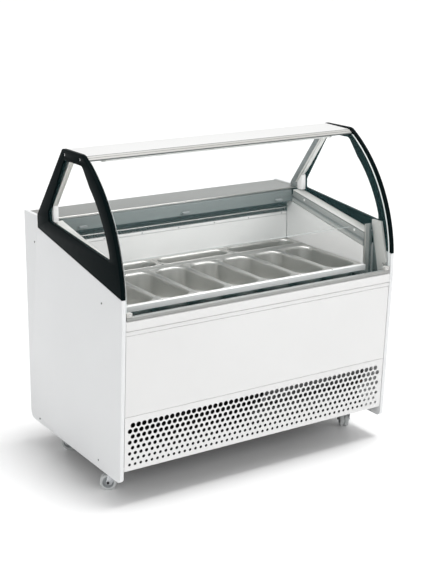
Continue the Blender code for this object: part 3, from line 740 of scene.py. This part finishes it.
def end_frames():
    outline = rounded([
        (FRONT, 0.8540, 0.0), (0.2985, 0.9875, 0.0), (0.2985, 1.0450, 0.004), (0.0425, 1.3580, 0.012),
        (-0.1180, 1.3580, 0.0), (-0.1285, 1.3568, 0.0), (-0.1390, 1.3535, 0.0), (-0.1480, 1.3482, 0.0),
    ], 6) + list(reversed(arc(FRAME_R, 0.8575, -0.156, 60)))
    for side, word in ((-1, "left"), (1, "right")):
        low, high = span(side, HALF_W - SIDE_THICK, HALF_W)
        piece = Piece(f"end_frame_plate_{word}", "cabinet", "black_frame")
        spots = ((0.022, 1.337), (-0.112, 1.337))
        wells = [circle(0.0068, 24, spot) for spot in spots]
        piece.add(plate(outline, low, high, 0.0022, [window()] + wells, 2), BLACK, ACROSS)
        floor = span(side, HALF_W - SIDE_THICK + 0.001, HALF_W - 0.0030)
        for spot in spots:
            piece.add(plate(circle(0.0090, 24, spot), *floor), BLACK, ACROSS)
        bolts = [(side * (HALF_W - 0.0031), *spot) for spot in spots]
        add_screws(piece, bolts, (side, 0, 0), 0.0052, 0.0028, BOLT, "hex")
        piece.done(f"end_frame_{word}")
        pane = Piece(f"side_pane_{word}", "cabinet", "clear_glass")
        low, high = span(side, HALF_W - 0.012, HALF_W - 0.007)
        pane.add(plate(window(0.0006), low, high, 0.0006), SIDE_PANE, ACROSS)
        pane.done(f"side_glass_{word}")


def inner_posts():
    """Aluminium posts behind the end frames: slate behind, as painted shade on the post's inner face, pale
    in front, a foot beside the worktop.
    """
    low_z, high_z = 1.0590, 1.3348
    rise = -0.2000 / 0.2540 * (high_z - low_z)

    def shifted(y0, y1):
        """A slanted band of the post, between two depths measured at the height of its foot."""
        return [(y0, low_z), (y1, low_z), (y1 + rise, high_z), (y0 + rise, high_z)]

    for side, word in ((-1, "left"), (1, "right")):
        piece = Piece(f"inner_post_profile_{word}", "cabinet", "aluminium")

        def layer(shape, inner, outer, look, bevel=0.0006):
            low, high = span(side, inner, outer)
            piece.add(plate(shape, low, high, bevel), look, ACROSS)

        # painted shade: the rear part of the post in slate, for its shaded inner face
        layer(shifted(0.2290, 0.2618), POST_X + 0.0006, IN_X - 0.0004, TRIM_FACE)
        layer(shifted(0.2128, 0.2285), POST_X, IN_X, ALU)
        layer(shifted(0.2195, 0.2215), POST_X - 0.0003, POST_X + 0.002, LINER, 0.0002)
        foot = rounded([
            (0.1784, 1.0292, 0.001), (0.2120, 1.0292, 0.001), (0.2120, 1.0640, 0.002),
            (0.1784, 1.1020, 0.002),
        ], 3)
        layer(foot, POST_X, IN_X, LINER, 0.0012)
        end_strip = rounded([
            (0.2122, 1.0292, 0.0), (0.4116, 1.0292, 0.002), (0.4116, 1.0378, 0.003), (0.2122, 1.0378, 0.0),
        ], 4)
        layer(end_strip, POST_X, IN_X, SHEET)
        packing = [(0.2124, 1.0380), (0.2616, 1.0380), (0.2616, 1.0588), (0.2124, 1.0588)]
        layer(packing, POST_X + 0.0006, IN_X - 0.0004, TRIM_FACE)
        piece.done(f"inner_post_{word}")


def canopy():
    """White top sheet, and a ribbed aluminium edge along the front."""
    piece = Piece("canopy_shell", "cabinet", "white_paint")
    shell = rounded([
        (-0.1470, 1.3358, 0.0), (0.0378, 1.3358, 0.002), (0.0378, 1.3568, 0.004), (-0.1255, 1.3518, 0.003),
        (-0.1350, 1.3470, 0.0),
    ], 5)
    piece.add(plate(shell, -IN_X + 0.001, IN_X - 0.001, 0.0010), FRONT_PAINT, ACROSS)
    start, end = Vector((-0.1525, 1.3360)), Vector((-0.1300, 1.3513))
    along = (end - start).normalized()
    out = Vector((-along.y, along.x))
    bands = ((0.00, 0.10, 0.0000, BAND), (0.12, 0.46, 0.0010, TRIM_TOP), (0.47, 0.53, -0.0008, BAND),
             (0.54, 0.88, 0.0010, TRIM_TOP), (0.90, 1.00, 0.0000, BAND))
    for low, high, proud, look in bands:
        a, b = start.lerp(end, low), start.lerp(end, high)
        outline = [tuple(p) for p in (a + out * proud, b + out * proud, b - out * 0.004, a - out * 0.004)]
        piece.add(plate(outline, -IN_X + 0.001, IN_X - 0.001, 0.0002), look, ACROSS)
    piece.done("canopy")

    lamp = Piece("lamp_diffuser", "cabinet", "lamp_cover")
    cover = rounded([
        (-0.1145, 1.3355, 0.0), (-0.1145, 1.3182, 0.009), (-0.0855, 1.3182, 0.009), (-0.0855, 1.3355, 0.0),
    ], 8)
    lamp.add(plate(cover, -0.548, 0.548, 0.0010), DIFFUSER, ACROSS)
    cap = rounded([
        (-0.1150, 1.3355, 0.0), (-0.1150, 1.3180, 0.009), (-0.0850, 1.3180, 0.009), (-0.0850, 1.3355, 0.0),
    ], 8)
    for low, high in ((-0.560, -0.5482), (0.5482, 0.560)):
        lamp.add(plate(cap, low, high, 0.0010), TRIM_TOP, ACROSS)
    lamp.done("lamp")


def curved_glass():
    """The tilting front glass, its polished ends in an opaque pale colour as a painted highlight, and the
    bottom profile with two hinge blocks.
    """
    inner_r = GLASS_R - GLASS_THICK
    top_z, foot_z = 1.3325, 0.8000

    def side_line(radius):
        top_y = ARC_Y - math.sqrt(radius ** 2 - (top_z - ARC_Z) ** 2)
        return [(ARC_Y - radius, foot_z)] + arc(radius, ARC_Z, top_y, 60)

    shell = side_line(GLASS_R) + list(reversed(side_line(inner_r)))
    glass = Piece("curved_front_glass", "front_glass", "clear_glass")
    half = IN_X - 0.0045
    glass.add(plate(shell, -half, half, 0.0010), GLASS, ACROSS)
    outer_y, inner_y = ARC_Y - GLASS_R, ARC_Y - inner_r
    lower = [(outer_y, 0.7815), (inner_y, 0.7815), (inner_y, 0.7999), (outer_y, 0.7999)]
    glass.add(plate(lower, -0.6124, 0.6124), GLASS, ACROSS)
    for side in (-1, 1):
        low, high = span(side, half + 0.0001, half + 0.0014)
        # painted highlight: the glass ends are drawn in an opaque pale colour
        glass.add(plate(shell, low, high, 0.0004), EDGE, ACROSS)
    glass.done("front_glass")

    profile = Piece("glass_bottom_profile", "front_glass", "aluminium")
    outline = rounded([
        (FRONT + 0.001, 0.7690, 0.0012), (-0.4095, 0.7690, 0.0012), (-0.4095, 0.7810, 0.0018),
        (FRONT + 0.001, 0.7810, 0.0018),
    ], 4)
    profile.add(plate(outline, -IN_X + 0.0035, IN_X - 0.0035, 0.0006), TRIM_MIDDLE, ACROSS)
    for side in (-1, 1):
        low, high = span(side, 0.6135, IN_X - 0.0036)
        block_outline = rectangle(FRONT + 0.0012, 0.7812, -0.4098, 0.7988, 0.003)
        profile.add(plate(block_outline, low, high, 0.0010), TRIM_TOP, ACROSS)
        spot = (side * 0.6252, FRONT + 0.0013, 0.7900)
        add_screws(profile, [spot], (0, -1, 0), 0.0034, 0.0010, BOLT, "hex")
    profile.done("glass_profile")


def flap():
    """The clear sheet over the back of the well, with polished edges, a pale strip along its front edge as a
    painted highlight, and three hinge clips.
    """
    front_edge, rear_edge = Vector((0, -0.2305, 0.9420)), Vector((0, 0.2000, 0.9950))
    length = (rear_edge - front_edge).length
    place = axes((1, 0, 0), rear_edge - front_edge, front_edge)
    half = TRIM_X - 0.0025
    piece = Piece("clear_rear_flap", "rear_flap", "clear_glass")
    outline = rectangle(-half, 0.0004, half, length - 0.0004, 0.008, 6)
    piece.add(plate(outline, -0.0046, -0.0006, 0.0008), FLAP_SHEET, place)
    # painted highlight: a pale strip along the front edge
    piece.add(block((-half + 0.010, -0.0002, -0.0044), (half - 0.010, 0.0003, -0.0008)), FLAP_EDGE, place)
    for x in (-0.50, 0.0, 0.50):
        clip = block((x - 0.018, length - 0.016, -0.0058), (x + 0.018, length, 0.0006), 0.0010)
        piece.add(clip, TRIM_FACE, place)
    piece.done("rear_flap")


# ---------------------------------------------------------------- refrigeration

def refrigeration():
    piece = Piece("condenser_coil", "cabinet", "grey_profile")
    fin = block((-0.00025, -0.3290, 0.2365), (0.00025, -0.2520, 0.4235))
    for k in range(96):
        piece.add(fin, FINS, Matrix.Translation((0.0795 + k * 0.00525, 0, 0)))
    for x in (0.0625, 0.5945):
        piece.add(block((x - 0.0022, -0.3298, 0.2352), (x + 0.0022, -0.2510, 0.4248), 0.0008), ZINC)
    for row in range(3):
        for level in range(6):
            y, z = -0.315 + 0.025 * row, 0.255 + 0.030 * level
            piece.add(tube([(0.0650, y, z), (0.5920, y, z)], 0.0045), COPPER)
    piece.done("condenser")

    rotor = Piece("fan_blades", "fan_rotor", "dark_plastic")
    turned = axes((1, 0, 0), (0, 0, 1))
    hub = [(0, -0.013), (0.019, -0.013), (0.022, -0.009), (0.0235, 0.013), (0.0215, 0.0138), (0, 0.0138)]
    rotor.add(lathe(hub, 30), DARK, Matrix.Translation(FAN_SPOT) @ turned)
    for k in range(5):
        spin = Matrix.Rotation(2 * math.pi * k / 5, 4, "Y")
        rotor.add(fan_blade(), DARK, Matrix.Translation(FAN_SPOT) @ spin)
    rotor.done("fan_rotor")

    motor = Piece("compressor_unit", "cabinet", "black_enamel")
    pot = [(0, 0.0), (0.052, 0.0), (0.060, 0.004), (0.072, 0.020), (0.078, 0.060), (0.0785, 0.088),
           (0.0820, 0.090), (0.0820, 0.096), (0.0785, 0.098), (0.076, 0.120), (0.066, 0.158), (0.050, 0.176),
           (0.026, 0.1855), (0, 0.187)]
    motor.add(lathe(pot, 40), ENAMEL, Matrix.Translation((-0.300, 0.060, 0.1125)))
    motor.done("compressor")

    coil = Piece("evaporator_coil", "cabinet", "aluminium")
    fin = block((-0.0002, -0.1490, 0.5225), (0.0002, 0.1490, 0.6195))
    for k in range(120):
        coil.add(fin, FINS, Matrix.Translation((-0.4920 + k * 0.00827, 0, 0)))
    for row in range(5):
        for level in range(3):
            y, z = -0.12 + 0.06 * row, 0.541 + 0.030 * level
            coil.add(tube([(-0.499, y, z), (0.499, y, z)], 0.0048), COPPER)
    coil.done("evaporator")
    keep(ENAMEL, "fan_shroud")
    # painted shade: the base frame is drawn near-black for the shadow under the cabinet
    keep(BASE_SHADE, "base_frame")


def fan_blade():
    """One twisted blade about the Y axis, from the hub out along +Z."""
    bm = bmesh.new()
    rows = []
    for i in range(9):
        share = i / 8
        radius = 0.018 + share * 0.059
        half = math.radians(30 - 4 * share)
        pitch = math.radians(38 - 16 * share)
        row = []
        for face in (0.0008, -0.0008):
            for j in range(9):
                t = j / 8 * 2 - 1
                sweep = t * half + 0.18 * share
                depth = -math.tan(pitch) * radius * math.sin(t * half) * 0.62
                camber = 0.002 * (1 - t * t)
                y = max(-0.013, min(0.013, depth + camber)) + face
                row.append(bm.verts.new((radius * math.sin(sweep), y, radius * math.cos(sweep))))
        rows.append(row)
    for one, two in zip(rows, rows[1:]):
        for j in range(8):
            bm.faces.new((one[j], one[j + 1], two[j + 1], two[j]))
            bm.faces.new((one[9 + j], two[9 + j], two[9 + j + 1], one[9 + j + 1]))
        for j in (0, 8):
            bm.faces.new((one[j], two[j], two[9 + j], one[9 + j]))
    for row in (rows[0], rows[-1]):
        for j in range(8):
            bm.faces.new((row[j], row[j + 1], row[9 + j + 1], row[9 + j]))
    return to_mesh(bm)


# ---------------------------------------------------------------- operator's side

def service_side():
    panel = Piece("rear_panel_sheet", "cabinet", "white_paint")
    slots = []
    for column in range(4):
        for row in range(9):
            x, z = -0.420 + 0.240 * column, 0.220 + 0.022 * row
            slots.append(rectangle(x - 0.090, z - 0.0035, x + 0.090, z + 0.0035, 0.0034, 4))
    outline = rectangle(-IN_X + 0.0008, 0.1128, IN_X - 0.0008, 1.0268, 0.004)
    panel.add(plate(outline, 0.4012, 0.4088, 0.0012, slots), PAINT, TO_REAR)
    spots = [(x, 0.4087, z) for x in (-0.615, 0.0, 0.615) for z in (0.135, 0.580, 1.005)]
    add_screws(panel, spots, (0, 1, 0), 0.0036, 0.0012, SHEET)
    panel.done("rear_panel")

    bezel = Piece("control_bezel", "cabinet", "dark_plastic")
    windows = [rectangle(-x - 0.0113, 0.9202, -x + 0.0113, 0.9498, 0.0015, 3) for x in (0.330, 0.375)]
    windows.append(rectangle(-0.5483, 0.9267, -0.5317, 0.9433, 0.0030, 4))
    outline = rectangle(-0.5795, 0.9005, -0.3005, 0.9695, 0.006, 6)
    bezel.add(plate(outline, 0.4107, 0.4183, 0.0012, windows), DARK, TO_REAR)
    screen = rectangle(-0.5080, 0.9180, -0.4180, 0.9520, 0.003, 4)
    bezel.add(plate(screen, 0.4180, 0.4186, 0.0002), SCREEN, TO_REAR)
    add_screws(bezel, [(x, 0.4182, 0.935) for x in (0.3080, 0.5720)], (0, 1, 0), 0.0028, 0.0010, BOLT)
    bezel.done("control_panel")

    half, tilt = 0.0124, math.radians(7)
    for name, x, look in (("power_switch", 0.330, GREEN_ROCKER), ("lamp_switch", 0.375, DARK)):
        rocker = Piece(f"{name}_rocker", name, "dark_plastic")
        turn = Matrix.Translation((x, 0.4160, 0.935)) @ Matrix.Rotation(tilt, 4, "X")
        curve = [(0.0044 - 0.0016 * math.cos(math.pi / 2 * k / 8), half * k / 8) for k in range(-8, 9)]
        outline = curve + [(-0.0034, half - 0.002), (-0.0034, -half + 0.002)]
        rocker.add(plate(outline, -0.0099, 0.0099, 0.0006), look, turn @ ACROSS)
        bar = block((-0.0008, 0.0030, 0.0040), (0.0008, 0.0040, 0.0090), 0.0003)
        rocker.add(bar, LINER, turn)
        rocker.done(name)

    button = Piece("set_button_cap", "set_button", "lamp_cover")
    outline = rectangle(-0.5474, 0.9276, -0.5326, 0.9424, 0.0028, 5)
    button.add(plate(outline, 0.4142, 0.4214, 0.0010), DIFFUSER, TO_REAR)
    button.done("set_button")

    inlet = Piece("mains_inlet_gland", "cabinet", "dark_plastic")
    place = facing((-0.520, 0.4105, 0.200), (0, 1, 0))
    inlet.add(plate(circle(0.0139, 6), 0.0, 0.0055, 0.0006, [circle(0.0062, 24)]), DARK, place)
    sleeve = [(0.0061, 0.0040), (0.0061, 0.0175), (0.0070, 0.0179), (0.0092, 0.0172), (0.0097, 0.0150),
              (0.0097, 0.0056), (0.0080, 0.0040)]
    inlet.add(lathe(sleeve, 28), DARK, place)
    # painted shade: a dark disc inside the sleeve
    inlet.add(plate(circle(0.0080, 20), 0.0, 0.0040), SHADOW, place)
    inlet.done("mains_inlet")


# ---------------------------------------------------------------- casters

def casters():
    gap = WHEEL_WIDTH / 2 + 0.0015
    leg = rounded([
        (-0.020, 0.0985, 0.0), (-0.0225, 0.0840, 0.008), (TRAIL - 0.013, WHEEL_R - 0.009, 0.009),
        (TRAIL + 0.011, WHEEL_R - 0.009, 0.009), (0.0225, 0.0840, 0.010), (0.020, 0.0985, 0.0),
    ], 6)
    half, r = WHEEL_WIDTH / 2, WHEEL_R
    tyre = [(0.0235, -half + 0.0006), (r - 0.0050, -half), (r - 0.0018, -half + 0.0010), (r, -half + 0.0035),
            (r, -0.0036), (r - 0.0012, -0.0022), (r - 0.0050, -0.0014), (r - 0.0050, 0.0014),
            (r - 0.0012, 0.0022), (r, 0.0036), (r, half - 0.0035), (r - 0.0018, half - 0.0010),
            (r - 0.0050, half), (0.0235, half - 0.0006)]
    hub = [(0.0046, -half), (0.0095, -half), (0.0105, -half + 0.0030), (0.0190, -half + 0.0040),
           (0.0205, -half + 0.0012), (0.0236, -half + 0.0010), (0.0236, half - 0.0010),
           (0.0205, half - 0.0012), (0.0190, half - 0.0040), (0.0105, half - 0.0030), (0.0095, half),
           (0.0046, half)]
    tyre_mesh, hub_mesh = lathe(tyre, 48), lathe(hub, 48)
    axle = [(0, -gap - 0.0045), (0.0038, -gap - 0.0045), (0.0038, gap + 0.0045), (0, gap + 0.0045)]
    nut = plate(circle(0.0064, 6), 0.0, 0.0038, 0.0007)
    head = [(0, 0.0987), (0.0200, 0.0987), (0.0228, 0.1005), (0.0230, 0.1040), (0.0212, 0.1060),
            (0.0205, 0.1074), (0, 0.1074)]
    for place, (x, y, yaw) in CASTERS.items():
        turn = Matrix.Translation((x, y, 0)) @ Matrix.Rotation(math.radians(yaw), 4, "Z")
        along_y = Matrix.Translation((TRAIL, 0, WHEEL_R)) @ Matrix.Rotation(-math.pi / 2, 4, "X")
        fork = Piece(f"caster_bracket_{place}", f"caster_fork_{place}", "zinc_steel")
        for side in (-1, 1):
            low, high = span(side, gap, gap + 0.0026)
            facing_y = axes((-1, 0, 0), (0, 0, 1))
            fork.add(plate([(-a, b) for a, b in leg], low, high, 0.0007), ZINC, turn @ facing_y)
            spot = turn @ Vector((TRAIL, side * (gap + 0.0026), WHEEL_R))
            normal = (turn.to_3x3() @ Vector((0, side, 0)))
            fork.add(nut, DARK, facing(spot, normal))
        plate_top = rectangle(-0.0200, -gap - 0.0026, 0.0200, gap + 0.0026, 0.004)
        fork.add(plate(plate_top, 0.0962, 0.0986, 0.0007), ZINC, turn)
        fork.add(lathe(head, 32), ZINC, turn)
        fork.add(lathe(axle, 16), BOLT, turn @ along_y)
        fork.done(f"caster_fork_{place}")
        wheel = Piece(f"caster_tyre_{place}", f"caster_wheel_{place}", "grey_tread")
        wheel.add(tyre_mesh, RUBBER, turn @ along_y)
        wheel.add(hub_mesh, HUB, turn @ along_y)
        wheel.done(f"caster_wheel_{place}")


side_panels()
front_panels()
rear_side()
trims()
corner_posts()
bars()
pans()
end_frames()
inner_posts()
canopy()
curved_glass()
flap()
refrigeration()
service_side()
casters()


# ---------------------------------------------------------------- floor, light and camera

def floor_look():
    """Polished pale floor: it mirrors the cabinet very faintly."""
    look = Look("pale_floor", (0.96, 0.96, 0.96), 0.30)
    look.tint(look.noise(0.8), 0.995, 1.005)
    look.set(IOR=1.30)
    return look.material


def lamp_light():
    """The cabinet's own lamp: a long soft light under its cover."""
    data = bpy.data.lights.new("lamp_glow", "AREA")
    data.shape, data.size, data.size_y, data.energy = "RECTANGLE", 1.08, 0.026, 3.6
    lamp = bpy.data.objects.new("lamp_glow", data)
    bpy.context.scene.collection.objects.link(lamp)
    lamp.location = (0, -0.100, 1.3172)


def stage():
    mesh = block((-90, -60, -0.020), (90, 90, 0.0))
    mesh.materials.append(floor_look())
    floor = bpy.data.objects.new("floor", mesh)
    bpy.context.scene.collection.objects.link(floor)

    world = bpy.data.worlds.new("studio")
    bpy.context.scene.world = world
    world.use_nodes = True
    world.node_tree.nodes["Background"].inputs["Color"].default_value = (1.0, 1.0, 1.0, 1.0)
    world.node_tree.nodes["Background"].inputs["Strength"].default_value = 0.73

    def sun(name, direction, strength, spread):
        """A distant soft light that shines along a direction."""
        data = bpy.data.lights.new(name, "SUN")
        data.energy, data.angle = strength, math.radians(spread)
        lamp = bpy.data.objects.new(name, data)
        bpy.context.scene.collection.objects.link(lamp)
        lamp.rotation_euler = Vector(direction).to_track_quat("-Z", "Y").to_euler()

    sun("overhead", (-0.15, 0.10, -1), 1.62, 20.0)
    sun("key", (-0.45, 0.80, -0.40), 0.55, 30.0)


def camera():
    """From the front left. Focal length and shift are given in points of an image 575 points high."""
    image_height, focal_length, shift, sensor = 575.0, 1224.0, -70.0, 36.0
    data = bpy.data.cameras.new("camera")
    data.sensor_width = sensor
    data.lens = focal_length * sensor / image_height
    data.shift_y = shift / image_height
    made = bpy.data.objects.new("camera", data)
    bpy.context.scene.collection.objects.link(made)
    made.location = (-2.714, -4.2855, 2.170)
    down, right = 12.91, 32.4
    made.rotation_euler = (math.radians(90 - down), 0, math.radians(-right))
    data.clip_end = 400.0
    bpy.context.scene.camera = made


lamp_light()
stage()
camera()
bpy.context.scene.view_settings.view_transform = "Standard"
